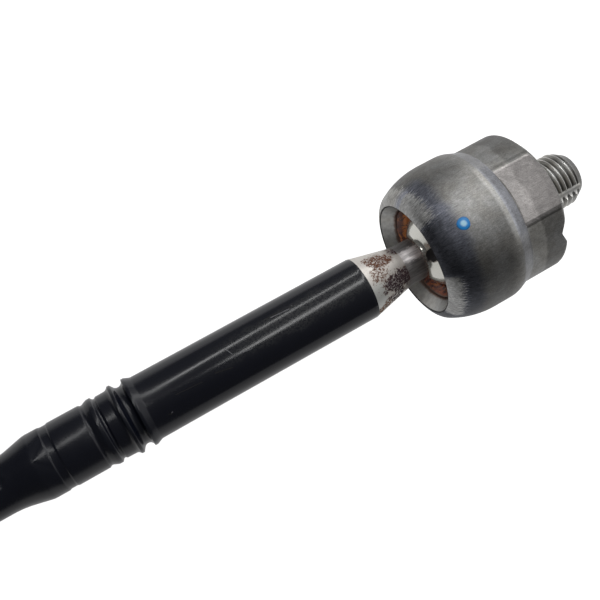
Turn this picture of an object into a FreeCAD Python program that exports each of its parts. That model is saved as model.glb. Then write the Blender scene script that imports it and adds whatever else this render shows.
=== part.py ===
import FreeCAD, Part
import math
import os

from FreeCAD import Vector

# Inner tie rod (axial ball joint) of a rack-and-pinion steering.
# Units are millimetres. +X runs along the axis from the rack stud out to the
# thread for the outer tie rod end. The origin is on the axis, in the plane of
# the shoulder that is screwed against the rack. +Z is the normal of one of the
# two wrench flats.

# Rack stud, with a major diameter of 14 mm and a pitch of 1.5 mm
STUD_DIAMETER = 14.0
STUD_LENGTH = 13.7
STUD_LEAD_LENGTH = 2.9
STUD_LEAD_DEPTH = 1.7

# Vent groove along the stud, and the wide V-shaped slot that carries it across the
# shoulder, deeper towards the outside
VENT_ANGLE = -44.5
VENT_GROOVE_WIDTH = 3.0
VENT_GROOVE_DEPTH = 1.1
VENT_SLOT_ANGLE = 133.0
VENT_SLOT_INNER_DEPTH = 0.8
VENT_SLOT_OUTER_DEPTH = 3.05

# Round collar with two opposite wrench flats and a chamfered end
COLLAR_ACROSS_FLATS = 33.0
COLLAR_PAST_FLATS = 1.5
COLLAR_LENGTH = 11.8
COLLAR_CHAMFER_LENGTH = 1.7
COLLAR_CHAMFER_DEPTH = 2.0

# Turned back of the socket: the cone that the flats run out against, the band
# from the collar out to the belt's edge, and the plain belt with its rounded edge
BACK_CONE_ANGLE = 53.0
BAND_LENGTH = 2.8
BELT_EDGE_DROP = 0.32
BELT_EDGE_LENGTH = 2.0
BELT_WALL = 5.1
BELT_PAST_BALL = 1.3

# Crown, nose and mouth of the socket. The throat closes a little over the ball.
CROWN_RADIUS = 21.0
CROWN_ANGLE = 28.4
NOSE_RADIUS = 4.0
MOUTH_CONE_WIDTH = 2.25
THROAT_OVERLAP = 0.5
THROAT_PAST_BALL = 9.9
THROAT_LAND_LENGTH = 0.6

# Ball, its seat and the bore that holds them
BALL_CENTRE = 20.0
BALL_DIAMETER = 25.0
BALL_CLEARANCE = 0.05
SEAT_WALL = 1.7
SEAT_CLEARANCE = 0.05
SEAT_LIP_ANGLE = 56.0
SEAT_FRONT_GAP = 0.1
BORE_PAST_BALL = 6.3
SEAT_SLOT_COUNT = 4
SEAT_SLOT_WIDTH = 1.2
SEAT_SLOT_LENGTH = 7.0
GREASE_POCKET_DIAMETER = 6.0

# Neck and bare cone behind the ball
NECK_DIAMETER = 10.4
NECK_FILLET = 1.5
NECK_PAST_BALL = 16.9
CONE_LENGTH = 10.9

# Painted shank
SHANK_DIAMETER = 15.5
SHANK_LENGTH = 83.2

# Groove for the small end of the bellows, counted back from the shank's end,
# with a bead on either side and a round one further out
GROOVE_SETBACK = 23.0
GROOVE_DEPTH = 0.8
GROOVE_INNER_SIDE = 0.9
GROOVE_OUTER_SIDE = 1.3
INNER_BEAD_HEIGHT = 0.6
INNER_BEAD_LAND = 0.7
INNER_BEAD_RAMP = 1.4
OUTER_BEAD_HEIGHT = 0.7
OUTER_BEAD_RAMP = 0.5
OUTER_BEAD_LAND = 0.8
HOLLOW_LENGTH = 2.8
HOLLOW_DEPTH = 0.2
HOLLOW_SAG = 0.37
ROUND_BEAD_LENGTH = 3.2
ROUND_BEAD_HEIGHT = 0.4
ROUND_BEAD_RUNOUT = 0.8

# Fine turned mark near the end of the full shank
MARK_SETBACK = 4.6
MARK_HALF_WIDTH = 1.0
MARK_DEPTH = 0.15

# Outer thread, with a major diameter of 12 mm and a pitch of 1.25 mm
THREAD_DIAMETER = 12.0
THREAD_LENGTH = 87.8
THREAD_CHAMFER = 1.3

# Reduced outer end between taper and thread, with two wrench flats
REDUCED_STEP = 0.2
REDUCED_LENGTH = 29.0
TAPER_ANGLE = 13.0
TAPER_FILLET = 22.0
WRENCH_FLAT_DEPTH = 0.2
WRENCH_FLAT_START = 7.3
WRENCH_FLAT_LENGTH = 18.0
WRENCH_FLAT_RUNOUT_ANGLE = 30.0
WRENCH_FLAT_TURN = 8.0

AXIS_START = Vector(0, 0, 0)
AXIS_DIRECTION = Vector(1, 0, 0)
OVERCUT = 1.0


def point(x, r):
    """A point of a half section: x along the axis, r away from it."""
    return Vector(x, 0, r)


class Outline:
    """A half section drawn point by point and turned about the axis."""

    def __init__(self, x, r):
        self.here = point(x, r)
        self.start = self.here
        self.edges = []

    def line(self, x, r):
        end = point(x, r)
        self.edges.append(Part.makeLine(self.here, end))
        self.here = end

    def arc(self, centre_x, centre_r, x, r):
        """The shorter arc about a centre to the point x, r."""
        centre = point(centre_x, centre_r)
        end = point(x, r)
        middle = (self.here - centre) + (end - centre)
        middle.normalize()
        radius = (self.here - centre).Length
        self.edges.append(Part.Arc(self.here, centre + middle * radius, end).toShape())
        self.here = end

    def bend(self, via_x, via_r, x, r):
        """An arc through a middle point."""
        end = point(x, r)
        self.edges.append(Part.Arc(self.here, point(via_x, via_r), end).toShape())
        self.here = end

    def bow(self, x, r, sag):
        """An arc whose middle stands off its chord by sag, away from the axis."""
        end = point(x, r)
        chord = end - self.here
        off = Vector(-chord.z, 0, chord.x)
        off.normalize()
        via = (self.here + end) * 0.5 + off * sag
        self.edges.append(Part.Arc(self.here, via, end).toShape())
        self.here = end

    def turned(self):
        """The solid of revolution, after a closing line back to the start."""
        if (self.here - self.start).Length > 1e-6:
            self.edges.append(Part.makeLine(self.here, self.start))
        face = Part.Face(Part.Wire(self.edges))
        solid = face.revolve(AXIS_START, AXIS_DIRECTION, 360)
        return solid.Solids[0] if solid.Solids else Part.makeSolid(solid)


def bore_radius():
    """Radius of the socket's bore and of its round bottom."""
    return BALL_DIAMETER / 2 + BALL_CLEARANCE + SEAT_WALL + SEAT_CLEARANCE


def belt_radius():
    return bore_radius() + BELT_WALL


def collar_radius():
    return COLLAR_ACROSS_FLATS / 2 + COLLAR_PAST_FLATS


def throat_radius():
    return BALL_DIAMETER / 2 - THROAT_OVERLAP


def throat_outer():
    """Axial place of the throat's outer edge, at the foot of the mouth cone."""
    return BALL_CENTRE + THROAT_PAST_BALL


def throat_inner():
    """Axial place of the throat's inner edge."""
    return throat_outer() - THROAT_LAND_LENGTH


def bore_end():
    """Axial place where the bore meets the inside cone of the rolled lip."""
    return BALL_CENTRE + BORE_PAST_BALL


def shank_start():
    return BALL_CENTRE + NECK_PAST_BALL + CONE_LENGTH


def shank_end():
    return shank_start() + SHANK_LENGTH


def reduced_radius():
    return THREAD_DIAMETER / 2 + REDUCED_STEP


def add_collar_and_belt(outline):
    """Shoulder, end chamfer, round collar, band, and the belt with its edge."""
    collar = collar_radius()
    belt = belt_radius()
    outline.line(0, collar - COLLAR_CHAMFER_DEPTH)
    outline.line(COLLAR_CHAMFER_LENGTH, collar)
    outline.line(COLLAR_LENGTH, collar)
    edge = COLLAR_LENGTH + BAND_LENGTH
    outline.line(edge, belt - BELT_EDGE_DROP)

    # The edge rounds over into the belt on a tangent arc.
    radius = (BELT_EDGE_LENGTH ** 2 + BELT_EDGE_DROP ** 2) / (2 * BELT_EDGE_DROP)
    outline.arc(edge + BELT_EDGE_LENGTH, belt - radius, edge + BELT_EDGE_LENGTH, belt)
    outline.line(BALL_CENTRE + BELT_PAST_BALL, belt)


def add_crown_and_mouth(outline):
    """Crown, the tighter nose round to the rim, and the conical mouth."""
    turn = math.radians(CROWN_ANGLE)
    crown_start = BALL_CENTRE + BELT_PAST_BALL
    crown_centre = belt_radius() - CROWN_RADIUS
    crown_x = crown_start + CROWN_RADIUS * math.sin(turn)
    crown_r = crown_centre + CROWN_RADIUS * math.cos(turn)
    outline.arc(crown_start, crown_centre, crown_x, crown_r)

    nose_x = crown_x - NOSE_RADIUS * math.sin(turn)
    nose_r = crown_r - NOSE_RADIUS * math.cos(turn)
    rim_r = throat_radius() + MOUTH_CONE_WIDTH
    rim_x = nose_x + math.sqrt(NOSE_RADIUS ** 2 - (rim_r - nose_r) ** 2)
    outline.arc(nose_x, nose_r, rim_x, rim_r)
    outline.line(throat_outer(), throat_radius())


def housing_outline():
    """Half section of stud, shoulder, collar, belt, crown and cavity."""
    outline = Outline(-STUD_LENGTH, 0)
    outline.line(-STUD_LENGTH, STUD_DIAMETER / 2 - STUD_LEAD_DEPTH)
    outline.line(-STUD_LENGTH + STUD_LEAD_LENGTH, STUD_DIAMETER / 2)
    outline.line(0, STUD_DIAMETER / 2)
    add_collar_and_belt(outline)
    add_crown_and_mouth(outline)

    # Throat, inside cone of the rolled lip, bore and round bottom.
    outline.line(throat_inner(), throat_radius())
    outline.line(bore_end(), bore_radius())
    outline.line(BALL_CENTRE, bore_radius())
    outline.arc(BALL_CENTRE, 0, BALL_CENTRE - bore_radius(), 0)
    return outline


def collar_flat_cutter(angle):
    """A block that cuts one flat and ends against the cone of the socket's back."""
    flat = COLLAR_ACROSS_FLATS / 2
    collar = collar_radius()
    reach = 2 * collar
    edges = [
        Part.makeLine(point(-OVERCUT, flat), point(COLLAR_LENGTH, flat)),
        Part.makeLine(point(COLLAR_LENGTH, flat), point(COLLAR_LENGTH, reach)),
        Part.makeLine(point(COLLAR_LENGTH, reach), point(-OVERCUT, reach)),
        Part.makeLine(point(-OVERCUT, reach), point(-OVERCUT, flat)),
    ]
    block = turned_block(edges, reach, angle)

    # The cone meets the round collar at its end and starts well below the flat.
    depth = 2 * COLLAR_PAST_FLATS
    run = depth / math.tan(math.radians(BACK_CONE_ANGLE))
    cone = Part.makeCone(collar - depth, collar, run,
                         point(COLLAR_LENGTH - run, 0), AXIS_DIRECTION)
    return block.cut(cone)


def turned_block(edges, half_width, angle):
    """A cutter with this side view, centred on the axis and turned about it."""
    block = Part.Face(Part.Wire(edges)).extrude(Vector(0, 2 * half_width, 0))
    block.translate(Vector(0, -half_width, 0))
    block.rotate(AXIS_START, AXIS_DIRECTION, angle)
    return block


def vent_slot_section(depth, r):
    """The slot's V at a distance r from the axis, with its root at this depth."""
    half = (depth + OVERCUT) * math.tan(math.radians(VENT_SLOT_ANGLE / 2))
    corners = [Vector(depth, 0, r), Vector(-OVERCUT, half, r), Vector(-OVERCUT, -half, r)]
    return Part.makePolygon(corners + corners[:1])


def vent_cutter():
    """The round-bottomed groove in the stud and the V-shaped slot across the shoulder."""
    half = VENT_GROOVE_WIDTH / 2
    radius = (half ** 2 + VENT_GROOVE_DEPTH ** 2) / (2 * VENT_GROOVE_DEPTH)
    stud = STUD_DIAMETER / 2
    bottom = stud - VENT_GROOVE_DEPTH
    groove = Part.makeCylinder(radius, STUD_LENGTH + VENT_SLOT_INNER_DEPTH + OVERCUT,
                               point(-STUD_LENGTH - OVERCUT, bottom + radius),
                               AXIS_DIRECTION)
    foot = Part.makeBox(VENT_SLOT_INNER_DEPTH, VENT_GROOVE_WIDTH, VENT_GROOVE_DEPTH,
                        Vector(0, -half, bottom))

    # The root of the V runs on straight past the collar.
    collar = collar_radius()
    slope = (VENT_SLOT_OUTER_DEPTH - VENT_SLOT_INNER_DEPTH) / (collar - stud)
    past = VENT_SLOT_OUTER_DEPTH + slope * OVERCUT
    slot = Part.makeLoft([vent_slot_section(VENT_SLOT_INNER_DEPTH, stud),
                          vent_slot_section(past, collar + OVERCUT)], True, True)
    cutter = groove.fuse([slot, foot])
    cutter.rotate(AXIS_START, AXIS_DIRECTION, VENT_ANGLE)
    return cutter


def joint_housing():
    """Forged and turned socket, collar and rack stud, all one piece of steel."""
    cutters = [collar_flat_cutter(angle) for angle in (0, 180)]
    cutters.append(vent_cutter())
    return housing_outline().turned().cut(cutters)


def seat_outline():
    """Half section of the seat: round back, straight wall, front cone and lip."""
    outer = bore_radius() - SEAT_CLEARANCE
    inner = BALL_DIAMETER / 2 + BALL_CLEARANCE
    lip = math.radians(SEAT_LIP_ANGLE)

    # The front cone runs beside the housing's inside cone, one clearance away.
    cone_run = throat_inner() - bore_end()
    cone_rise = bore_radius() - throat_radius()
    slant = math.hypot(cone_run, cone_rise)
    shoulder_x = bore_end() - SEAT_CLEARANCE * (slant - cone_run) / cone_rise
    front_x = throat_inner() - SEAT_FRONT_GAP
    front_r = outer - (front_x - shoulder_x) * cone_rise / cone_run

    outline = Outline(BALL_CENTRE - outer, 0)
    outline.arc(BALL_CENTRE, 0, BALL_CENTRE, outer)
    outline.line(shoulder_x, outer)
    outline.line(front_x, front_r)
    outline.line(BALL_CENTRE + inner * math.cos(lip), inner * math.sin(lip))
    outline.arc(BALL_CENTRE, 0, BALL_CENTRE, inner)

    # A shallow round pocket at the bottom holds grease.
    pocket = GREASE_POCKET_DIAMETER / 2
    outline.arc(BALL_CENTRE, 0, BALL_CENTRE - math.sqrt(inner ** 2 - pocket ** 2), pocket)
    pocket_floor = BALL_CENTRE - (inner + outer) / 2
    outline.line(pocket_floor, pocket)
    outline.line(pocket_floor, 0)
    return outline


def ball_seat():
    """One-piece plastic seat, slotted at its front so that it snaps on the ball."""
    front = throat_inner()
    reach = bore_radius() + OVERCUT
    slots = []
    for number in range(SEAT_SLOT_COUNT):
        slot = Part.makeBox(SEAT_SLOT_LENGTH + OVERCUT, SEAT_SLOT_WIDTH, reach,
                            Vector(front - SEAT_SLOT_LENGTH, -SEAT_SLOT_WIDTH / 2, 0))
        slot.rotate(AXIS_START, AXIS_DIRECTION, 45 + 360 / SEAT_SLOT_COUNT * number)
        slots.append(slot)
    return seat_outline().turned().cut(slots)


def add_ball_neck_and_cone(outline):
    """Ball, a small fillet to the neck, and the cone up to the shank."""
    ball = BALL_DIAMETER / 2
    neck = NECK_DIAMETER / 2
    outline.arc(BALL_CENTRE, 0, BALL_CENTRE, ball)
    fillet_r = neck + NECK_FILLET
    fillet_run = math.sqrt((ball + NECK_FILLET) ** 2 - fillet_r ** 2)
    on_ball = ball / (ball + NECK_FILLET)
    outline.arc(BALL_CENTRE, 0, BALL_CENTRE + fillet_run * on_ball, fillet_r * on_ball)
    outline.arc(BALL_CENTRE + fillet_run, fillet_r, BALL_CENTRE + fillet_run, neck)
    outline.line(BALL_CENTRE + NECK_PAST_BALL, neck)
    outline.line(shank_start(), SHANK_DIAMETER / 2)


def add_beads(outline):
    """The groove for the bellows with its two beads, and the round bead."""
    shank = SHANK_DIAMETER / 2
    groove = shank_end() - GROOVE_SETBACK
    bead_start = groove - GROOVE_INNER_SIDE - INNER_BEAD_LAND
    outline.line(bead_start - INNER_BEAD_RAMP, shank)
    outline.line(bead_start, shank + INNER_BEAD_HEIGHT)
    outline.line(groove - GROOVE_INNER_SIDE, shank + INNER_BEAD_HEIGHT)
    outline.bend(groove, shank - GROOVE_DEPTH, groove + GROOVE_OUTER_SIDE, shank)
    bead_start = groove + GROOVE_OUTER_SIDE + OUTER_BEAD_RAMP
    bead_end = bead_start + OUTER_BEAD_LAND
    outline.line(bead_start, shank + OUTER_BEAD_HEIGHT)
    outline.line(bead_end, shank + OUTER_BEAD_HEIGHT)
    hollow_end = bead_end + HOLLOW_LENGTH
    outline.bow(hollow_end, shank - HOLLOW_DEPTH, -HOLLOW_SAG)
    round_end = hollow_end + ROUND_BEAD_LENGTH
    outline.bow(round_end, shank - HOLLOW_DEPTH, HOLLOW_DEPTH + ROUND_BEAD_HEIGHT)
    outline.line(round_end + ROUND_BEAD_RUNOUT, shank)


def add_mark(outline):
    """The fine turned mark, and the rest of the full shank."""
    shank = SHANK_DIAMETER / 2
    mark = shank_end() - MARK_SETBACK
    outline.line(mark - MARK_HALF_WIDTH, shank)
    outline.bend(mark, shank - MARK_DEPTH, mark + MARK_HALF_WIDTH, shank)
    outline.line(shank_end(), shank)


def add_taper_and_thread(outline):
    """Straight taper, its fillet into the reduced end, and the outer thread."""
    reduced = reduced_radius()
    drop = SHANK_DIAMETER / 2 - reduced
    turn = math.radians(TAPER_ANGLE)

    # The fillet takes at most the whole drop of the taper.
    fillet = min(TAPER_FILLET, 0.9 * drop / (1 - math.cos(turn)))
    fillet_drop = fillet * (1 - math.cos(turn))
    fillet_start = shank_end() + (drop - fillet_drop) / math.tan(turn)
    fillet_end = fillet_start + fillet * math.sin(turn)
    outline.line(fillet_start, reduced + fillet_drop)
    outline.arc(fillet_end, reduced + fillet, fillet_end, reduced)

    reduced_end = shank_end() + REDUCED_LENGTH
    thread = THREAD_DIAMETER / 2
    outline.line(reduced_end - REDUCED_STEP, reduced)
    outline.line(reduced_end, thread)
    thread_end = reduced_end + THREAD_LENGTH
    outline.line(thread_end - THREAD_CHAMFER, thread)
    outline.line(thread_end, thread - THREAD_CHAMFER)
    outline.line(thread_end, 0)


def wrench_flat_cutter(angle):
    """A block that cuts one wrench flat, with a sloping run-out at both ends."""
    flat = reduced_radius() - WRENCH_FLAT_DEPTH
    start = shank_end() + WRENCH_FLAT_START
    end = start + WRENCH_FLAT_LENGTH
    reach = SHANK_DIAMETER
    runout = (reach - flat) / math.tan(math.radians(WRENCH_FLAT_RUNOUT_ANGLE))
    edges = [
        Part.makeLine(point(start, flat), point(end, flat)),
        Part.makeLine(point(end, flat), point(end + runout, reach)),
        Part.makeLine(point(end + runout, reach), point(start - runout, reach)),
        Part.makeLine(point(start - runout, reach), point(start, flat)),
    ]
    return turned_block(edges, reach, angle)


def tie_rod_bar():
    """Ball, neck, shank and threaded outer end, forged and turned in one piece."""
    outline = Outline(BALL_CENTRE - BALL_DIAMETER / 2, 0)
    add_ball_neck_and_cone(outline)
    add_beads(outline)
    add_mark(outline)
    add_taper_and_thread(outline)
    flats = [wrench_flat_cutter(WRENCH_FLAT_TURN + side) for side in (0, 180)]
    return outline.turned().cut(flats)


os.makedirs("parts", exist_ok=True)
for name, make in (("joint_housing", joint_housing),
                   ("ball_seat", ball_seat),
                   ("tie_rod_bar", tie_rod_bar)):
    shape = make()
    solid = shape.Solids[0] if len(shape.Solids) == 1 else shape
    solid.exportStep(os.path.join("parts", name + ".step"))
    box = solid.BoundBox
    print(name, "solids", len(shape.Solids), "valid", solid.isValid(),
          "volume", round(solid.Volume, 1),
          "x", round(box.XMin, 2), round(box.XMax, 2))
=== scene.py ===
import math
from functools import reduce

import bmesh
import bpy
import numpy as np
from mathutils import Euler, Matrix, Vector, noise


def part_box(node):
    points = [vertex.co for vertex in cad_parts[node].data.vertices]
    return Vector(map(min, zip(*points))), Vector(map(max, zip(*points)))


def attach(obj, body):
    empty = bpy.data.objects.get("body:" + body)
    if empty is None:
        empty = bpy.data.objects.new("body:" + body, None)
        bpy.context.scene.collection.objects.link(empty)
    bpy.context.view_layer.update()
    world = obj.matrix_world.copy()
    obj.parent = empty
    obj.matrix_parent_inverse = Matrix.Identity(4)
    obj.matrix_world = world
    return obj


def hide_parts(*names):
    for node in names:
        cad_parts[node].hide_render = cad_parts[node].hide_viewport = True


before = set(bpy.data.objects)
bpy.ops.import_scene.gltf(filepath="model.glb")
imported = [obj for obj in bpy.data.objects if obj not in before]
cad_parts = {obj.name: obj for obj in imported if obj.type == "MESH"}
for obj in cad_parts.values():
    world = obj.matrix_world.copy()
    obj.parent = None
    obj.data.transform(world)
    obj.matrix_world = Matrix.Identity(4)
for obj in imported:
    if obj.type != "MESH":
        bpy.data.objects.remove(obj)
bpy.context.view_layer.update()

# Lengths in this script are millimetres up to the point where a mesh is made.
MM = 0.001


def cad_box(node):
    """Lowest and highest corner of a CAD node, in millimetres."""
    low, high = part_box(node)
    return Vector(low) / MM, Vector(high) / MM


HOUSING_LOW, HOUSING_HIGH = cad_box("joint_housing")
ROD_LOW, ROD_HIGH = cad_box("tie_rod_bar")

# Rack stud, M14 x 1.5
STUD_RADIUS = 7.0
STUD_TIP_X = HOUSING_LOW.x
STUD_TIP_RADIUS = 5.3
STUD_LEAD_X = STUD_TIP_X + 2.9
STUD_PITCH = 1.5
STUD_ROWS_PER_PITCH = 10
STUD_UNDERCUT = 0.45

# Vent groove and the slot across the shoulder
VENT_ANGLE = math.radians(-44.5)
VENT_GROOVE_HALF = 1.5
VENT_GROOVE_DEPTH = 1.1
VENT_SLOT_SPREAD = math.tan(math.radians(133.0 / 2))
VENT_SLOT_INNER_DEPTH = 0.8
VENT_SLOT_OUTER_DEPTH = 3.05
VENT_SLOT_ROOT_RADIUS = 0.2

# Collar with its two flats, band and belt
FLAT_DISTANCE = 16.5
COLLAR_RADIUS = 18.0
COLLAR_CHAMFER_X = 1.7
COLLAR_CHAMFER_DEPTH = 2.0
COLLAR_END_X = 11.8
BACK_CONE_SLOPE = math.tan(math.radians(53.0))
BAND_END_X = 14.6
BELT_RADIUS = HOUSING_HIGH.z
BELT_EDGE_DROP = 0.32
BELT_EDGE_LENGTH = 2.0
BELT_END_X = 21.3
EDGE_ROUNDING = 0.10
FLAT_END_ROUNDING = 0.06
COLLAR_ROUNDING = 0.45

# Rows along the collar are close at the chamfer and where the flats end, and columns
# within some degrees of a flat's edge.
CHAMFER_ROWS_END_X = 2.2
FLAT_EDGE_REACH = 1.8
COLUMN_COUNTS = (34, 84, 14, 64, 14, 52, 14, 64, 14)
FLAT_END_ROWS_X = (10.0, 12.2)
ROW_SPACING_FINE = 0.13
ROW_SPACING_COLLAR = 0.9
ROW_SPACING_BELT = 0.8

# Crown, nose, mouth and bore
CROWN_RADIUS = 21.0
CROWN_ANGLE = math.radians(28.4)
NOSE_RADIUS = 4.0
RIM_RADIUS = 14.25
RIM_GROOVE_WIDTH = 0.28
RIM_GROOVE_DEPTH = 0.30
RIM_LIP_DROP = 0.12
THROAT_RADIUS = 12.0
THROAT_X = 29.9
THROAT_LAND = 0.6
BORE_RADIUS = 14.3
BORE_END_X = 26.3

# Ball, neck and cone
BALL_CENTRE = 20.0
BALL_RADIUS = BALL_CENTRE - ROD_LOW.x
NECK_RADIUS = 5.2
NECK_FILLET = 1.5
NECK_END_X = 36.9
PAINT_EDGE_X = 47.8
PAINT_THICKNESS = 0.06
CONE_STEP = 0.09

# Shank, beads and marks
SHANK_RADIUS = 7.75
GROOVE_X = 108.0
SHANK_END_X = 131.0
MARK_X = SHANK_END_X - 4.6
MARK_GROOVE = [(-1.05, 0.0), (-0.80, 0.18), (0.80, 0.18), (1.05, 0.0)]
REDUCED_RADIUS = 6.2
REDUCED_END_X = SHANK_END_X + 29.0
TAPER_ANGLE = math.radians(13.0)
TAPER_FILLET = 22.0
WRENCH_FLAT_DISTANCE = 6.0
WRENCH_FLAT_TURN = math.radians(8.0)
WRENCH_FLAT_START_X = SHANK_END_X + 7.3
WRENCH_FLAT_END_X = WRENCH_FLAT_START_X + 18.0
WRENCH_RUNOUT_SLOPE = math.tan(math.radians(30.0))

# Beads for the bellows, as distance from GROOVE_X and height over the shank. The
# bellows' groove and a hollow, given by their sag, lie between the first three parts.
BEAD_BEFORE = [(-3.0, 0.0), (-1.6, 0.6), (-0.9, 0.6)]
BEAD_AFTER = [(1.3, 0.0), (1.8, 0.7), (2.45, 0.7)]
BEAD_NARROW = [(3.3, 0.0), (5.6, -0.05), (6.0, -0.38), (6.35, -0.30), (6.8, 0.30),
               (7.7, 0.30), (8.5, -0.02), (9.0, -0.28), (9.4, -0.28), (9.8, 0.0)]
GROOVE_SAG = -0.95
HOLLOW_SAG = -0.12
BEAD_ROUNDING = 0.13

# Outer thread, M12 x 1.25
THREAD_RADIUS = 6.0
THREAD_PITCH = 1.25
THREAD_END_X = ROD_HIGH.x
THREAD_CHAMFER = 1.3
THREAD_ROWS_PER_PITCH = 6

# Form of both threads, as shares of their pitch, and the softness of their edges
THREAD_HEIGHT = 0.6134
THREAD_CREST = 0.10
THREAD_FLANK = 0.36
EDGE_SOFTNESS = 0.08

# Points closer than this are merged, and faces thinner than this dissolved
MERGE_REACH = 0.002
SLIVER_WIDTH = 0.001

# Edges that bend by more degrees than this are crisp, on turned and on soft pieces
CRISP_ANGLE = 38.0
SOFT_ANGLE = 60.0


# Outlines

def arc(centre, radius, start, end, count):
    """Points on an arc of a half section; angles are from the +X side towards r."""
    turn = np.linspace(start, end, count)
    return [(centre[0] + radius * math.cos(t), centre[1] + radius * math.sin(t)) for t in turn]


def bow(start, end, sag, count):
    """Points on an arc between two ends whose middle stands off the chord by sag."""
    start, end = np.array(start, float), np.array(end, float)
    half = np.linalg.norm(end - start) / 2
    radius = (half ** 2 + sag ** 2) / (2 * abs(sag))
    along = (end - start) / (2 * half)
    off = np.array([-along[1], along[0]]) * np.sign(sag)
    centre = (start + end) / 2 - off * (radius - abs(sag))
    reach = math.asin(min(1.0, half / radius))
    turns = np.linspace(-reach, reach, count)
    return [tuple(centre + radius * (math.sin(t) * along + math.cos(t) * off)) for t in turns]


def evenly(points, spacing):
    """The same outline with its long stretches divided to about this spacing."""
    out = [points[0]]
    for a, b in zip(points, points[1:]):
        length = math.hypot(b[0] - a[0], b[1] - a[1])
        parts = max(1, round(length / spacing))
        for i in range(1, parts + 1):
            out.append((a[0] + (b[0] - a[0]) * i / parts, a[1] + (b[1] - a[1]) * i / parts))
    return out


def softened(points, radius, count=4):
    """The outline with each of its inner corners replaced by a small rounding."""
    out = [points[0]]
    for before, here, after in zip(points, points[1:], points[2:]):
        p, q, r = (np.array(v, float) for v in (before, here, after))
        back, on = p - q, r - q
        reach = min(radius, np.linalg.norm(back) / 2.2, np.linalg.norm(on) / 2.2)
        a = q + back / np.linalg.norm(back) * reach
        b = q + on / np.linalg.norm(on) * reach
        for t in np.linspace(0, 1, count):
            out.append(tuple((1 - t) ** 2 * a + 2 * t * (1 - t) * q + t ** 2 * b))
    out.append(points[-1])
    return out


# Meshes

def turned_mesh(name, rows, steps):
    """A closed mesh from rows of points round the axis, with a point at each end.

    rows is an array of rows, columns and x, y, z. steps gives, for each row, the
    number of rows by which a helix moves on in one turn, and 0 without a helix.
    """
    count, columns = rows.shape[:2]
    points = rows.reshape(-1, 3)
    verts = np.vstack([points, rows[0].mean(0), rows[-1].mean(0)]) * MM
    first, last = len(points), len(points) + 1
    tail = (count - 1) * columns
    faces = []
    for i in range(count - 1):
        here, there = i * columns, (i + 1) * columns
        for j in range(columns - 1):
            faces.append((here + j, there + j, there + j + 1, here + j + 1))
        turn_here = min(count - 1, i + steps[i]) * columns
        turn_there = min(count - 1, i + 1 + steps[i + 1]) * columns
        faces.append((here + columns - 1, there + columns - 1, turn_there, turn_here))
    for j in range(columns):
        k = (j + 1) % columns
        faces += [(first, j, k), (last, tail + k, tail + j)]
    mesh = bpy.data.meshes.new(name)
    mesh.from_pydata(verts.tolist(), [], faces)
    return mesh


def ring_mesh(name, rings, closed):
    """A mesh over rings of points, in a loop when closed, else with a face at each end."""
    count, width = rings.shape[:2]
    faces = []
    for i in range(count if closed else count - 1):
        a, b = i * width, (i + 1) % count * width
        for j in range(width):
            k = (j + 1) % width
            faces.append((a + j, a + k, b + k, b + j))
    if not closed:
        faces += [range(width), range((count - 1) * width, count * width)]
    mesh = bpy.data.meshes.new(name)
    mesh.from_pydata((rings.reshape(-1, 3) * MM).tolist(), [], faces)
    return mesh


def placed(name, data):
    """A new object in the scene, from a mesh, a light or a camera."""
    piece = bpy.data.objects.new(name, data)
    bpy.context.scene.collection.objects.link(piece)
    return piece


def finished(mesh, sharp_angle, *materials):
    """An object from a mesh: doubles merged, normals outward, smooth with crisp edges."""
    work = bmesh.new()
    work.from_mesh(mesh)
    bmesh.ops.remove_doubles(work, verts=work.verts, dist=MERGE_REACH * MM)
    bmesh.ops.dissolve_degenerate(work, edges=work.edges, dist=SLIVER_WIDTH * MM)
    bmesh.ops.recalc_face_normals(work, faces=work.faces)
    work.to_mesh(mesh)
    work.free()
    mesh.shade_smooth()
    mesh.set_sharp_from_angle(angle=math.radians(sharp_angle))
    for material in materials:
        mesh.materials.append(material)
    return placed(mesh.name, mesh)


def soft_min(a, b, width):
    """The smaller of two radii, with the corner between them rounded."""
    gap = np.maximum(width - np.abs(a - b), 0.0)
    return np.minimum(a, b) - gap ** 2 / (4 * width)


def smooth_step(value, low, high):
    t = np.clip((value - low) / (high - low), 0.0, 1.0)
    return t * t * (3 - 2 * t)


def round_axis(x, r, angle):
    """x, y, z of points at radius r and at an angle about +X from +Z."""
    x, r, angle = np.broadcast_arrays(x, r, angle)
    return np.stack([x, -r * np.sin(angle), r * np.cos(angle)], axis=-1)


def thread_depth(phase, pitch):
    """Depth of a 60 degree thread below its crest, by the phase of one pitch."""
    away = abs(phase - round(phase))
    start = THREAD_CREST / 2
    return THREAD_HEIGHT * pitch * smooth_step(away, start, start + THREAD_FLANK) ** 0.9


# Housing

def housing_columns():
    """Column angles once round, dense on the flats, at their edges and at the slot."""
    edge = math.degrees(math.acos(FLAT_DISTANCE / COLLAR_RADIUS))
    near, far = edge - FLAT_EDGE_REACH, edge + FLAT_EDGE_REACH
    ends = [far - 180, -70, -far, -near, near, far, 180 - far, 180 - near, 180 + near, 180 + far]
    angles = [np.linspace(start, end, count, endpoint=False)
              for start, end, count in zip(ends, ends[1:], COLUMN_COUNTS)]
    return np.radians(np.concatenate(angles))


def flat_offset(angle):
    """Angle from the nearest flat's normal."""
    return angle - np.round(angle / math.pi) * math.pi


def flat_surface(x, angle):
    """Radius of a flat, or of the back cone where the flat runs out against it."""
    flat = FLAT_DISTANCE / np.maximum(np.cos(flat_offset(angle)), 0.02)
    cone = COLLAR_RADIUS - (COLLAR_END_X - x) * BACK_CONE_SLOPE
    return -soft_min(-flat, -cone, FLAT_END_ROUNDING)


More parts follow.
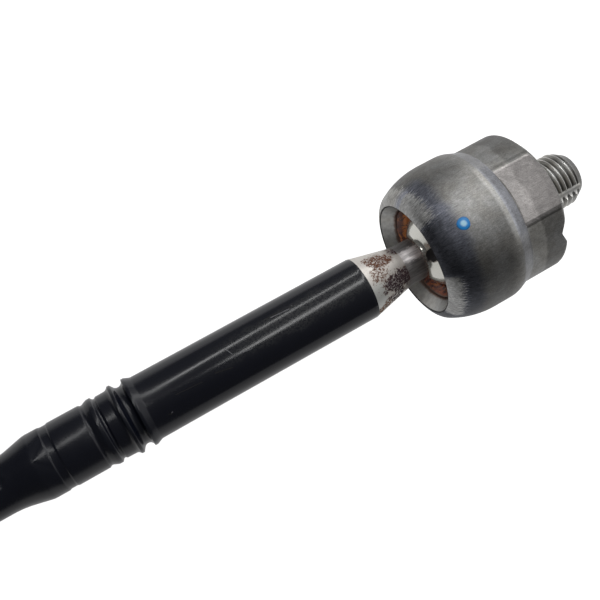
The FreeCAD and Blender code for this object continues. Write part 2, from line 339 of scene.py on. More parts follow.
def vent_groove_radius(angle):
    """Radius of the vent groove's floor at an angle, or a large one outside it."""
    groove = (VENT_GROOVE_HALF ** 2 + VENT_GROOVE_DEPTH ** 2) / (2 * VENT_GROOVE_DEPTH)
    centre = STUD_RADIUS - VENT_GROOVE_DEPTH + groove
    off = angle - VENT_ANGLE
    inside = groove ** 2 - (centre * np.sin(off)) ** 2
    floor = centre * np.cos(off) - np.sqrt(np.maximum(inside, 0))
    return np.where((inside > 0) & (np.cos(off) > 0), floor, 100.0)


def slot_depth(angle, radius):
    """Depth of the V-shaped slot across the shoulder, below 0 beside it."""
    off = angle - VENT_ANGLE
    aside = np.hypot(radius * np.sin(off), VENT_SLOT_ROOT_RADIUS) - VENT_SLOT_ROOT_RADIUS
    out = radius * np.cos(off)
    slope = (VENT_SLOT_OUTER_DEPTH - VENT_SLOT_INNER_DEPTH) / (COLLAR_RADIUS - STUD_RADIUS)
    root = VENT_SLOT_INNER_DEPTH + slope * (out - STUD_RADIUS)
    return np.where(out > 0, root - aside / VENT_SLOT_SPREAD, -9.0)


def cut_by_slot(x, depth):
    """The larger of an axial place and the slot's depth, with a small rounding."""
    return -soft_min(-x, -depth, EDGE_SOFTNESS)


def stud_root(columns):
    """Radius where the stud meets the shoulder."""
    return np.minimum(STUD_RADIUS - STUD_UNDERCUT, vent_groove_radius(columns))


def stud_rows(columns):
    """Rows of the stud from its tip to the shoulder, which follow the helix."""
    rows = [round_axis(STUD_TIP_X, STUD_TIP_RADIUS * r, columns) for r in (0.35, 0.7, 0.93, 1.0)]
    steps = [0] * len(rows)
    lead_slope = (STUD_RADIUS - STUD_TIP_RADIUS) / (STUD_LEAD_X - STUD_TIP_X)
    per_pitch = STUD_ROWS_PER_PITCH
    for i in range(-per_pitch, math.ceil(-STUD_TIP_X / STUD_PITCH * per_pitch) + per_pitch + 1):
        raw = STUD_TIP_X + STUD_PITCH * (i / per_pitch + columns / (2 * math.pi))
        x = np.clip(raw, STUD_TIP_X, 0.0)
        lead = STUD_TIP_RADIUS + (x - STUD_TIP_X) * lead_slope
        r = soft_min(STUD_RADIUS - thread_depth(i / per_pitch, STUD_PITCH), lead, EDGE_SOFTNESS)
        r = soft_min(r, vent_groove_radius(columns), 0.12)
        r = np.where(raw <= STUD_TIP_X, STUD_TIP_RADIUS, r)
        r = np.where(raw >= 0, stud_root(columns), r)
        rows.append(round_axis(x, r, columns))
        steps.append(per_pitch)
    return rows, steps


def shoulder_rows(columns):
    """Rows of the shoulder's face, from the stud's root out to the chamfer."""
    root = stud_root(columns)
    edge = COLLAR_RADIUS - COLLAR_CHAMFER_DEPTH
    radii = [root + (edge - root) * share for share in np.linspace(0.0, 1.0, 16)]
    return [round_axis(cut_by_slot(0.0, slot_depth(columns, r)), r, columns) for r in radii]


def collar_outline():
    """Outline from the shoulder's edge over collar, band and belt to the crown."""
    belt_edge = BELT_RADIUS - BELT_EDGE_DROP
    radius = (BELT_EDGE_LENGTH ** 2 + BELT_EDGE_DROP ** 2) / (2 * BELT_EDGE_DROP)
    reach = math.asin(BELT_EDGE_LENGTH / radius)
    top = BAND_END_X + BELT_EDGE_LENGTH
    rounding = arc((top, BELT_RADIUS - radius), radius, math.pi / 2 + reach, math.pi / 2, 7)
    corners = [(0.0, COLLAR_RADIUS - COLLAR_CHAMFER_DEPTH), (COLLAR_CHAMFER_X, COLLAR_RADIUS),
               (COLLAR_END_X, COLLAR_RADIUS), (BAND_END_X, belt_edge)]
    points = softened(corners + rounding[1:] + [(BELT_END_X, BELT_RADIUS)], COLLAR_ROUNDING, 5)
    split, fine_end = FLAT_END_ROWS_X
    rows = points[:1]
    for start, end in zip(points, points[1:]):
        fine = start[0] < CHAMFER_ROWS_END_X or end[0] > split and start[0] < fine_end
        if start[0] < split < end[0]:
            share = (split - start[0]) / (end[0] - start[0])
            middle = (split, start[1] + (end[1] - start[1]) * share)
            rows += evenly([start, middle], ROW_SPACING_COLLAR)[1:]
            rows += evenly([middle, end], ROW_SPACING_FINE)[1:]
        else:
            rows += evenly([start, end], ROW_SPACING_FINE if fine else ROW_SPACING_BELT)[1:]
    return rows


def mouth_outline():
    """Outline from the belt over crown, nose, rim and mouth into the bore."""
    centre = (BELT_END_X, BELT_RADIUS - CROWN_RADIUS)
    crown = arc(centre, CROWN_RADIUS, math.pi / 2, math.pi / 2 - CROWN_ANGLE, 26)
    end = crown[-1]
    nose_centre = (end[0] - NOSE_RADIUS * math.sin(CROWN_ANGLE),
                   end[1] - NOSE_RADIUS * math.cos(CROWN_ANGLE))
    stop = math.asin((RIM_RADIUS + RIM_GROOVE_WIDTH / 2 - nose_centre[1]) / NOSE_RADIUS)
    nose = arc(nose_centre, NOSE_RADIUS, math.pi / 2 - CROWN_ANGLE, stop, 14)
    rim_x = nose[-1][0]
    lip = (rim_x - RIM_LIP_DROP, RIM_RADIUS - RIM_GROOVE_WIDTH / 2)
    rim = [(rim_x - 0.05, RIM_RADIUS + 0.08), (rim_x - RIM_GROOVE_DEPTH, RIM_RADIUS), lip]
    slope = (rim_x - THROAT_X) / (RIM_RADIUS - THROAT_RADIUS)
    cone = [(lip[0] - slope * drop, lip[1] - drop) for drop in np.linspace(0.21, 2.1, 8)[:-1]]
    cone.append((THROAT_X, THROAT_RADIUS))
    inside = [(THROAT_X - 0.05, THROAT_RADIUS), (THROAT_X - THROAT_LAND, THROAT_RADIUS),
              (BORE_END_X, BORE_RADIUS), (BALL_CENTRE, BORE_RADIUS)]
    bottom = arc((BALL_CENTRE, 0), BORE_RADIUS, math.pi / 2, math.pi * 0.985, 12)
    return crown[1:] + nose[1:] + rim + cone + inside + bottom[1:]


def housing_rows():
    """Rows of the whole housing: stud, shoulder, collar, band, belt, crown and bore."""
    columns = housing_columns()
    rows, steps = stud_rows(columns)
    rows += shoulder_rows(columns)
    for x, r in collar_outline():
        if x < COLLAR_END_X:
            r = soft_min(r, flat_surface(x, columns), EDGE_ROUNDING)
        rows.append(round_axis(cut_by_slot(x, slot_depth(columns, r)), r, columns))
    rows += [round_axis(x, r, columns) for x, r in mouth_outline()]
    return np.array(rows), steps + [0] * (len(rows) - len(steps))


def store(mesh, name, values):
    """Stores a number for each point of a mesh, which a material can read."""
    layer = mesh.attributes.new(name, "FLOAT", "POINT")
    layer.data.foreach_set("value", values.astype(np.float32))


def mark_finish(mesh):
    """Stores, for each point, how far it lies on a flat and how deep in a thread."""
    points = np.empty(len(mesh.vertices) * 3)
    mesh.vertices.foreach_get("co", points)
    x, y, z = (points.reshape(-1, 3) / MM).T
    r = np.hypot(y, z)
    angle = np.arctan2(-y, z)
    away = r * np.cos(flat_offset(angle)) - FLAT_DISTANCE
    on_flat = 1 - smooth_step(np.abs(away), 0.03, 0.09)
    store(mesh, "on_flat", on_flat * ((x > 0.02) & (x < COLLAR_END_X)))
    in_groove = np.abs(r - vent_groove_radius(angle)) < 0.06
    depth = np.where((x < -0.01) & ~in_groove, np.clip((STUD_RADIUS - r) / 0.9, 0, 1), 0)
    store(mesh, "thread_depth", depth)


def make_housing(material):
    mesh = turned_mesh("housing_body", *housing_rows())
    piece = finished(mesh, CRISP_ANGLE, material)
    mark_finish(mesh)
    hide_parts("joint_housing")
    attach(piece, "housing")


# Rod

ROD_COLUMNS = 112


def ball_outline():
    """Ball, fillet, neck and bare cone up to the edge of the paint."""
    fillet_r = NECK_RADIUS + NECK_FILLET
    run = math.sqrt((BALL_RADIUS + NECK_FILLET) ** 2 - fillet_r ** 2)
    meet = math.atan2(fillet_r, run)
    ball = arc((BALL_CENTRE, 0), BALL_RADIUS, math.pi * 0.99, meet, 52)
    fillet = arc((BALL_CENTRE + run, fillet_r), NECK_FILLET, math.pi + meet, 1.5 * math.pi, 7)
    neck = [(x, NECK_RADIUS) for x in np.linspace(BALL_CENTRE + run + 0.8, NECK_END_X - 0.5, 6)]
    bare = SHANK_RADIUS - PAINT_THICKNESS
    cone = list(zip(np.linspace(NECK_END_X + 0.4, PAINT_EDGE_X, 12),
                    np.linspace(NECK_RADIUS + CONE_STEP, bare, 12)))
    return ball + fillet[1:] + neck + cone


def shank_outline():
    """Painted shank with the beads for the bellows, the mark and the taper."""
    s = SHANK_RADIUS
    before, after, narrow = ([(GROOVE_X + dx, s + height) for dx, height in part]
                             for part in (BEAD_BEFORE, BEAD_AFTER, BEAD_NARROW))
    beads = before + bow(before[-1], after[0], GROOVE_SAG, 10)[1:]
    beads += after[1:] + bow(after[-1], narrow[0], HOLLOW_SAG, 5)[1:] + narrow[1:]
    mark = [(MARK_X + dx, s - depth) for dx, depth in MARK_GROOVE]
    drop = s - REDUCED_RADIUS
    fillet_drop = TAPER_FILLET * (1 - math.cos(TAPER_ANGLE))
    fillet_x = SHANK_END_X + (drop - fillet_drop) / math.tan(TAPER_ANGLE)
    fillet_end = fillet_x + TAPER_FILLET * math.sin(TAPER_ANGLE)
    taper = arc((fillet_end, REDUCED_RADIUS + TAPER_FILLET), TAPER_FILLET,
                -math.pi / 2 - TAPER_ANGLE, -math.pi / 2, 9)
    edge = [(PAINT_EDGE_X + 0.03, s - PAINT_THICKNESS * 0.3), (PAINT_EDGE_X + 0.10, s),
            (PAINT_EDGE_X + 1.0, s)]
    plain = [(SHANK_END_X - 0.5, s)]
    points = edge + softened(edge[-1:] + beads + mark + plain, BEAD_ROUNDING)[1:]
    points += [(SHANK_END_X - 0.3, s), (SHANK_END_X + 0.3, s - 0.06)]
    points += taper + [(REDUCED_END_X - 0.2, REDUCED_RADIUS)]
    return evenly(points, 2.6)


def wrench_flat_surface(x):
    """Distance of a wrench flat from the axis, with its sloping ends."""
    before = max(WRENCH_FLAT_START_X - x, 0)
    after = max(x - WRENCH_FLAT_END_X, 0)
    return WRENCH_FLAT_DISTANCE + (before + after) * WRENCH_RUNOUT_SLOPE


def rod_angles(crease):
    """Column angles of the rod, gathered near the creases of its two flats."""
    quarter = ROD_COLUMNS // 4
    low, high = max(crease - 3.0, crease * 0.5), min(crease + 3.0, 90 - (90 - crease) * 0.5)
    share = np.arange(quarter) / quarter
    gap = np.interp(share, [0, 0.3, 0.6, 1], [0, low, high, 90])
    back = np.interp(1 - share, [0, 0.3, 0.6, 1], [0, low, high, 90])
    angles = np.concatenate([-180 + gap, -back, gap, 180 - back])
    return np.radians(angles) + WRENCH_FLAT_TURN


def rod_rows():
    """Rows of the whole rod, from the ball's far side to the end of its thread."""
    even = 27.0
    plain = rod_angles(even)
    rows = [round_axis(x, r, plain) for x, r in ball_outline()]
    for x, r in shank_outline():
        surface = wrench_flat_surface(x)
        near = WRENCH_FLAT_START_X - 8 < x < WRENCH_FLAT_END_X + 6
        crease = max(math.degrees(math.acos(min(1.0, surface / r))), 1.0) if near else even
        angle = rod_angles(crease)
        off = angle - WRENCH_FLAT_TURN
        flat = surface / np.maximum(np.abs(np.cos(off)), 0.05)
        rows.append(round_axis(x, soft_min(r, flat, 0.05) if near else r, angle))
    steps = [0] * len(rows)
    per_pitch = THREAD_ROWS_PER_PITCH
    start = REDUCED_END_X
    count = math.ceil((THREAD_END_X - start) / THREAD_PITCH * per_pitch)
    turn = (plain - plain[0]) / (2 * math.pi) - 0.5
    end_radius = THREAD_RADIUS - THREAD_CHAMFER
    for i in range(-per_pitch, count + per_pitch + 1):
        x = np.clip(start + THREAD_PITCH * (i / per_pitch + turn), start, THREAD_END_X)
        depth = thread_depth(i / per_pitch, THREAD_PITCH)
        depth = depth * smooth_step(x, start, start + 1.5 * THREAD_PITCH)
        r = soft_min(THREAD_RADIUS - depth, end_radius + (THREAD_END_X - x), EDGE_SOFTNESS)
        rows.append(round_axis(x, r, plain))
        steps.append(per_pitch)
    rows += [round_axis(THREAD_END_X, end_radius * share, plain) for share in (0.7, 0.3)]
    return np.array(rows), steps + [0, 0]


def make_rod(materials):
    mesh = turned_mesh("rod_bar", *rod_rows())
    piece = finished(mesh, CRISP_ANGLE, *materials)
    centres = np.empty(len(mesh.polygons) * 3)
    mesh.polygons.foreach_get("center", centres)
    x = centres.reshape(-1, 3)[:, 0] / MM
    zone = np.searchsorted([NECK_END_X, PAINT_EDGE_X, REDUCED_END_X + 0.5], x).astype(np.int32)
    mesh.polygons.foreach_set("material_index", zone)
    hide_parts("tie_rod_bar")
    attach(piece, "rod")


# Grease and paint dot

# Section through the ring of grease, as x and radius, and its points that lie open
GREASE_SECTION = [(28.3, 11.7), (29.80, 11.93), (29.90, 11.82), (29.35, 11.35), (28.55, 10.95),
                  (27.95, 10.55), (27.45, 10.28), (27.1, 10.35), (27.3, 10.75)]
GREASE_OPEN = range(2, 7)
GREASE_LIFT = 0.22
GREASE_LUMPS = 2.2


def make_grease(material):
    """A smeared ring of old grease on the seat's front, between throat and ball."""
    columns = np.radians(np.arange(0, 360, 2.0))
    rows = []
    for index, (x, r) in enumerate(GREASE_SECTION):
        lift = GREASE_LIFT if index in GREASE_OPEN else 0.0
        places = [Vector((math.cos(a) * GREASE_LUMPS, math.sin(a) * GREASE_LUMPS, index * 0.45))
                  for a in columns]
        wobble = np.array([noise.noise(place) for place in places])
        rows.append(round_axis(x + wobble * lift, r - np.abs(wobble) * lift * 0.6, columns))
    mesh = ring_mesh("seat_grease", np.array(rows), True)
    piece = finished(mesh, SOFT_ANGLE, material)
    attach(piece, "seat")


DOT_PLACE = Vector((25.5, -0.06, 18.95))
DOT_RADIUS = 1.6
DOT_THICKNESS = 0.12
# Rings of the drop, from its middle out and then back below, as shares of its
# radius and of its thickness
DOT_RINGS = [(0.25, 0.97), (0.5, 0.85), (0.75, 0.62), (0.93, 0.30), (1.0, -0.3), (0.5, -0.4)]


def make_paint_dot(material):
    """A thin domed drop of marking paint that follows the crown's curve."""
    centre_angle = math.atan2(-DOT_PLACE.y, DOT_PLACE.z)
    crown_r = BELT_RADIUS - CROWN_RADIUS
    slope = math.asin((DOT_PLACE.x - BELT_END_X) / CROWN_RADIUS)
    turn = np.linspace(0, 2 * math.pi, 40, endpoint=False)
    rings = []
    for share, lift in DOT_RINGS:
        reach = DOT_RADIUS * share * (1 + 0.04 * np.sin(3 * turn + 1.0))
        at = slope + reach * np.cos(turn) / CROWN_RADIUS
        height = CROWN_RADIUS + DOT_THICKNESS * lift
        r = crown_r + height * np.cos(at)
        angle = centre_angle + reach * np.sin(turn) / r
        rings.append(round_axis(BELT_END_X + height * np.sin(at), r, angle))
    mesh = ring_mesh("paint_dot", np.array(rings), False)
    piece = finished(mesh, SOFT_ANGLE, material)
    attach(piece, "housing")


# Shading

class Nodes:
    """The node tree of a material or a world, with short calls to fill it."""

    def __init__(self, owner):
        owner.use_nodes = True
        self.tree = owner.node_tree
        self.tree.nodes.clear()

    def put(self, socket, value):
        if isinstance(value, bpy.types.NodeSocket):
            self.tree.links.new(value, socket)
        else:
            socket.default_value = value

    def add(self, kind, inputs=None, **settings):
        """A node with its settings, and with values or links on its inputs."""
        node = self.tree.nodes.new("ShaderNode" + kind)
        for name, value in settings.items():
            setattr(node, name, value)
        for name, value in (inputs or {}).items():
            self.put(node.inputs[name], value)
        return node

    def math(self, operation, a, b=0.0):
        return self.add("Math", {0: a, 1: b}, operation=operation).outputs[0]

    def minus(self, a, b):
        return self.math("SUBTRACT", a, b)

    def both(self, *shares):
        """The product of shares, which is 1 where all of them are."""
        return reduce(lambda a, b: self.math("MULTIPLY", a, b), shares)

    def most(self, *shares):
        """The largest of shares."""
        return reduce(lambda a, b: self.math("MAXIMUM", a, b), shares)

    def vector(self, operation, a, b):
        return self.add("VectorMath", {0: a, 1: b}, operation=operation).outputs[0]

    def scaled(self, place, factor):
        """A place or a colour times a number."""
        return self.add("VectorMath", {0: place, "Scale": factor}, operation="SCALE").outputs[0]

    def ramp(self, value, low, high, start=0.0, end=1.0):
        """From start to end as the value goes from low to high, smooth between."""
        return self.add("MapRange", {"Value": value, "From Min": low, "From Max": high,
                                     "To Min": start, "To Max": end},
                        interpolation_type="SMOOTHSTEP").outputs["Result"]


class Graph(Nodes):
    """A material with the places on the part, in millimetres and degrees."""

    def __init__(self, name):
        self.material = bpy.data.materials.new(name)
        super().__init__(self.material)
        self.mm = self.scaled(self.add("TexCoord").outputs["Object"], 1 / MM)
        self.x, self.y, self.z = self.add("SeparateXYZ", {0: self.mm}).outputs
        self.r = self.hypot(self.y, self.z)
        turn = self.math("ARCTAN2", self.both(self.y, -1.0), self.z)
        self.turn = self.both(turn, 180 / math.pi)
        safe = self.most(self.r, 0.5)
        self.round = self.join(0.0, self.math("DIVIDE", self.y, safe),
                               self.math("DIVIDE", self.z, safe))

    def hypot(self, a, b):
        return self.math("SQRT", self.math("ADD", self.both(a, a), self.both(b, b)))

    def join(self, x, y, z):
        return self.add("CombineXYZ", {0: x, 1: y, 2: z}).outputs[0]

    def noise(self, place, scale, detail=2.0, rough=0.5, warp=0.0):
        return self.add("TexNoise", {"Vector": place, "Scale": scale, "Detail": detail,
                                     "Roughness": rough, "Distortion": warp}).outputs["Fac"]

    def rest(self, share):
        """What a share leaves of 1."""
        return self.minus(1.0, share)

    def step(self, value, low, high):
        """0 below low, 1 above high and smooth between; low may be the larger."""
        if low < high:
            return self.ramp(value, low, high)
        return self.ramp(value, high, low, 1.0, 0.0)

    def between(self, value, low, high, soft):
        """1 from low to high, falling to 0 over the soft stretch beyond each."""
        return self.both(self.step(value, low - soft, low), self.step(value, high + soft, high))

    def shifted(self, value, field, reach):
        """The value moved up and down by as much as reach, by a noise."""
        return self.math("ADD", value, self.both(self.minus(field, 0.5), 2 * reach))

    def blot(self, along, around, field):
        """1 in a ragged spot, given its centre and half width in x and in the turn."""
        a = self.math("DIVIDE", self.minus(self.x, along[0]), along[1])
        b = self.math("DIVIDE", self.minus(self.turn, around[0]), around[1])
        return self.step(self.shifted(self.hypot(a, b), field, 0.9), 1.15, 0.60)

    def scratches(self, segments, radius, field):
        """1 on fine lines, each between two places given by x and angle in degrees."""
        arc = self.both(self.turn, math.radians(radius))
        lines = []
        for start, end, half in segments:
            a, b = (Vector((x, math.radians(turn) * radius)) for x, turn in (start, end))
            length = (b - a).length
            run = (b - a) / length
            dx, dy = self.minus(self.x, a.x), self.minus(arc, a.y)
            along = self.math("ADD", self.both(dx, run.x), self.both(dy, run.y))
            aside = self.minus(self.both(dx, run.y), self.both(dy, run.x))
            aside = self.shifted(aside, field, half * 1.2)
            lines.append(self.both(self.between(along, 0.0, length, 0.3),
                                   self.between(aside, -half, half, 0.06)))
        return self.most(*lines)

    def lines(self, radius, scale, stretch, detail=3.0, rough=0.6):
        """Noise drawn out along the part's axis, in lines round a surface of this radius."""
        along = self.both(self.minus(self.x, self.r), 1 / stretch)
        place = self.vector("ADD", self.scaled(self.round, radius), self.join(along, 0.0, 0.0))
        return self.noise(place, scale, detail, rough)

    def mix(self, share, a, b):
        """A colour from a to b."""
        return self.add("Mix", {"Factor": share, 6: a, 7: b}, data_type="RGBA").outputs[2]

    def layered(self, color, *layers):
        """A colour with others laid over it, each given by its share and its colour."""
        return reduce(lambda under, layer: self.mix(layer[0], under, layer[1]), layers, color)

    def blend(self, share, a, b):
        """A number from a to b."""
        return self.add("Mix", {"Factor": share, 2: a, 3: b}, data_type="FLOAT").outputs[0]

    def toned(self, level, *tones):
        """The level times each tone's factor where its share is 1."""
        return self.both(level, *(self.blend(share, 1.0, factor) for share, factor in tones))

    def grained(self, field, low, high, soft):
        """A noise turned into levels from low to high, over a soft stretch about its middle."""
        return self.blend(self.step(field, 0.5 - soft, 0.5 + soft), low, high)

    def attribute(self, name):
        return self.add("Attribute", attribute_name=name).outputs["Fac"]

    def bump(self, height, depth, strength):
        """Relief from a height between 0 and 1, with its full depth in millimetres."""
        return self.add("Bump", {"Strength": strength, "Distance": depth * MM,
                                 "Height": height}).outputs[0]

    def surface(self, color, metallic, roughness, normal=None, specular=0.5):
        shader = self.add("BsdfPrincipled", {
            "Base Color": color, "Metallic": metallic, "Roughness": roughness,
            "Specular IOR Level": specular})
        if normal is not None:
            self.put(shader.inputs["Normal"], normal)
        self.add("OutputMaterial", {"Surface": shader.outputs[0]})
        return self.material


def grey(value):
    return (value, value, value, 1.0)


# Colours of the housing's steel before their level, and the radius of its brushing
DULL_STEEL = (0.297, 0.289, 0.272, 1)
CLEAN_STEEL = (0.286, 0.286, 0.280, 1)
FLAT_STEEL = (0.293, 0.279, 0.272, 1)
WORN_STEEL = grey(0.288)
# Bluish steel: on the crown's ring part of its painted dark reflection, on the band a light bluish
# tone
BLUE_TONE_STEEL = (0.258, 0.270, 0.318, 1)
# Rust tone darkened as painted shade, for the throat
THROAT_RUST_AND_SHADE = (0.120, 0.050, 0.030, 1)
RIM_LINE_DARK = grey(0.012)
BRUSHED_RADIUS = 19.0


def housing_steel():
    """Bare steel: dull collar, smooth band, brushed belt and crown, with painted shade, painted
    highlights and a painted dark blue reflection near the mouth.
    """
    g = Graph("housing_steel")
    x, turn = g.x, g.turn
    brush = g.lines(BRUSHED_RADIUS, 1.5, 7.0, 4.0, 0.70)
    fine_brush = g.lines(BRUSHED_RADIUS, 4.6, 8.0, 3.0, 0.70)
    cloud = g.noise(g.mm, 0.16, 3.0, 0.55)
    mottle = g.noise(g.mm, 0.9, 5.0, 0.70)
    grain = g.noise(g.mm, 3.4, 2.0, 0.60)
    slant = g.noise(g.join(g.math("ADD", x, g.y), g.both(g.y, 0.25), g.z), 1.6, 3.0, 0.65)
    on_flat = g.attribute("on_flat")
    depth = g.attribute("thread_depth")

    # Parts of the housing along its axis
    collar = g.between(x, 0.1, COLLAR_END_X - 0.2, 0.2)
    round_collar = g.both(collar, g.rest(on_flat))
    band = g.between(x, COLLAR_END_X + 0.1, BAND_END_X, 0.35)
    belt_edge = g.between(x, BAND_END_X + 0.1, BAND_END_X + 1.0, 1.0)
    facing = g.between(g.shifted(turn, mottle, 6.0), -22.0, 26.0, 9.0)

    # Painted shade: the belt is darker away from the facing side, most of all below it, and
    # inner_shade darkens its lower side towards the crown. A painted highlight lies on and beside
    # the band away from the facing side.
    level = g.blend(g.step(turn, -18.0, -44.0), 0.86, 0.50)
    level = g.blend(g.step(turn, 28.0, 46.0), level, 0.62)
    inner_shade = g.both(g.step(x, 15.5, 18.5), g.step(turn, -12.0, -34.0))
    painted_side_highlight = g.both(g.between(g.shifted(x, cloud, 1.5), 10.0, 16.0, 3.0), g.rest(facing))
    level = g.toned(level, (inner_shade, 0.82), (painted_side_highlight, 1.42))

    # Collar and flats: darker towards the stud, lighter beside the band. Painted shade makes the
    # collar's lower side darker than its upper side.
    near_band = g.step(g.shifted(x, cloud, 1.2), 6.9, 7.9)
    side_level = g.blend(g.step(turn, 0.0, 1.0), g.blend(near_band, 0.70, 1.22),
                         g.blend(near_band, 0.60, 0.82))
    # Painted shade towards the collar's underside and its top
    under = g.most(g.step(turn, -46.0, -62.0), g.step(turn, 48.0, 66.0))
    level = g.blend(round_collar, level, g.toned(side_level, (under, 0.72)))
    level = g.blend(on_flat, level, g.blend(near_band, 0.82, 1.13))
    # Painted highlight along the upper flat's edge, painted shade in a line above it and in a band
    # at the lower flat's edge, painted shade on the band's facing side, and a painted highlight on
    # the belt's edge there
    painted_edge_highlight = g.both(collar, g.between(turn, 22.9, 24.3, 0.6))
    painted_shade_above_edge = g.both(round_collar, g.between(turn, 26.2, 27.6, 1.0))
    painted_shade_lower_edge = g.both(collar, g.between(turn, -24.9, -21.9, 1.0))
    level = g.toned(level, (painted_edge_highlight, 1.30), (painted_shade_above_edge, 0.74), (painted_shade_lower_edge, 0.42),
                    (g.both(band, facing), 0.92), (g.both(belt_edge, facing), 1.70))

    # The crown's ring is darker as a painted dark reflection, its top has painted shade, and the
    # rim's front a painted dark reflection. The rim's upper side is brighter, partly brushed wear
    # and partly a painted highlight, with brushed patches at its edge.
    ring = g.step(g.shifted(x, cloud, 1.6), 24.6, 27.6)
    ring_side = g.step(g.shifted(turn, brush, 6.0), 8.0, 24.0)
    painted_shade_crown_top = g.both(g.step(x, 18.0, 21.5), g.step(turn, 14.0, 24.0))
    rim_zone = g.step(g.shifted(x, brush, 1.0), 28.7, 30.2)
    ragged = g.shifted(turn, fine_brush, 9.0)
    painted_reflection_rim_front = g.both(rim_zone, g.between(ragged, -32.0, 12.0, 4.0))
    patch_x = g.shifted(x, fine_brush, 3.2)
    rim_wear_and_highlight = g.both(g.between(turn, 44.0, 150.0, 8.0), g.step(patch_x, 29.2, 31.0))
    level = g.toned(level, (ring, g.blend(ring_side, 0.56, 0.86)), (painted_shade_crown_top, 0.88),
                    (painted_reflection_rim_front, 0.62), (rim_wear_and_highlight, 2.90))
    patch = g.most(g.both(g.between(ragged, 19.0, 46.0, 7.0), g.step(patch_x, 28.6, 31.2)),
                   g.both(g.between(ragged, -80.0, -37.0, 7.0), g.step(patch_x, 29.5, 31.9)))
    level = g.blend(g.both(patch, 0.85), level, 1.55)

    # Scratches, grain and blotches
    streak = g.math("ADD", g.both(brush, 0.55), g.both(fine_brush, 1.45))
    reach = g.blend(g.step(x, 15.0, 17.5), 0.5, g.blend(g.step(x, 24.0, 28.0), 0.70, 1.5))
    streak_level = g.math("ADD", 1.0, g.both(g.minus(streak, 1.0), reach))
    level = g.both(level, streak_level, g.grained(cloud, 0.86, 1.14, 0.20),
                   g.grained(mottle, 0.88, 1.12, 0.20), g.grained(grain, 0.86, 1.14, 0.20))
    level = g.toned(level, (g.both(on_flat, g.step(slant, 0.56, 0.70)), 1.30))

    # Inside of the mouth, and the stud with a painted highlight on its thread crests and painted
    # shade in its roots
    inside_mouth = g.both(g.step(g.r, RIM_RADIUS + 0.1, RIM_RADIUS - 0.1), g.step(x, 28.0, 29.0))
    level = g.blend(inside_mouth, level, g.grained(mottle, 1.0, 1.34, 0.15))
    level = g.blend(g.step(x, 0.0, -0.1), level, g.blend(depth, 2.1, 0.55))

    # Blue tone: on the crown's ring part of its painted dark reflection, on the band a light bluish
    # tone
    blue_tone = g.both(ring, g.step(patch, 0.6, 0.2), g.rest(inside_mouth), g.step(turn, 62.0, 48.0))
    blue_tone = g.most(blue_tone, g.both(band, g.blend(facing, 0.35, 0.55)))
    base = g.layered(DULL_STEEL, (g.step(cloud, 0.35, 0.65), CLEAN_STEEL), (on_flat, FLAT_STEEL),
                     (g.both(patch, 0.8), WORN_STEEL), (blue_tone, BLUE_TONE_STEEL))
    # Dark red brown in the throat: a rust tone darkened as painted shade
    throat = g.both(g.step(g.shifted(g.r, mottle, 0.25), 12.5, 12.1), g.step(x, 28.0, 28.5), 0.8)
    # Near-black line along the rim's groove
    rim = g.both(g.between(g.shifted(g.r, mottle, 0.10), RIM_RADIUS - 0.12, RIM_RADIUS + 0.14,
                           0.10), g.step(x, 32.6, 32.8), 0.9)
    base = g.layered(g.scaled(base, level), (throat, THROAT_RUST_AND_SHADE), (rim, RIM_LINE_DARK))

    rough = g.blend(g.most(band, inside_mouth), g.blend(brush, 0.42, 0.56), 0.38)
    rough = g.blend(g.step(x, 0.2, -0.2), rough, 0.32)
    relief = g.blend(on_flat, g.blend(0.5, streak, grain), g.blend(0.5, mottle, slant))
    return g.surface(base, 1.0, rough, g.bump(relief, 0.05, 0.6))


# Colours of ball and neck, and how metallic the neck is
BALL_DULL, BALL_BRIGHT = (0.60, 0.595, 0.55, 1), (0.70, 0.69, 0.64, 1)
BALL_RUST_DARK, BALL_RUST_LIGHT = (0.075, 0.022, 0.010, 1), (0.30, 0.10, 0.03, 1)
# Near-black painted shadow between the neck and the lip
BALL_PAINTED_SHADOW = (0.012, 0.008, 0.009, 1)
NECK_STEEL = (0.60, 0.575, 0.575)
NECK_METALLIC = 0.72


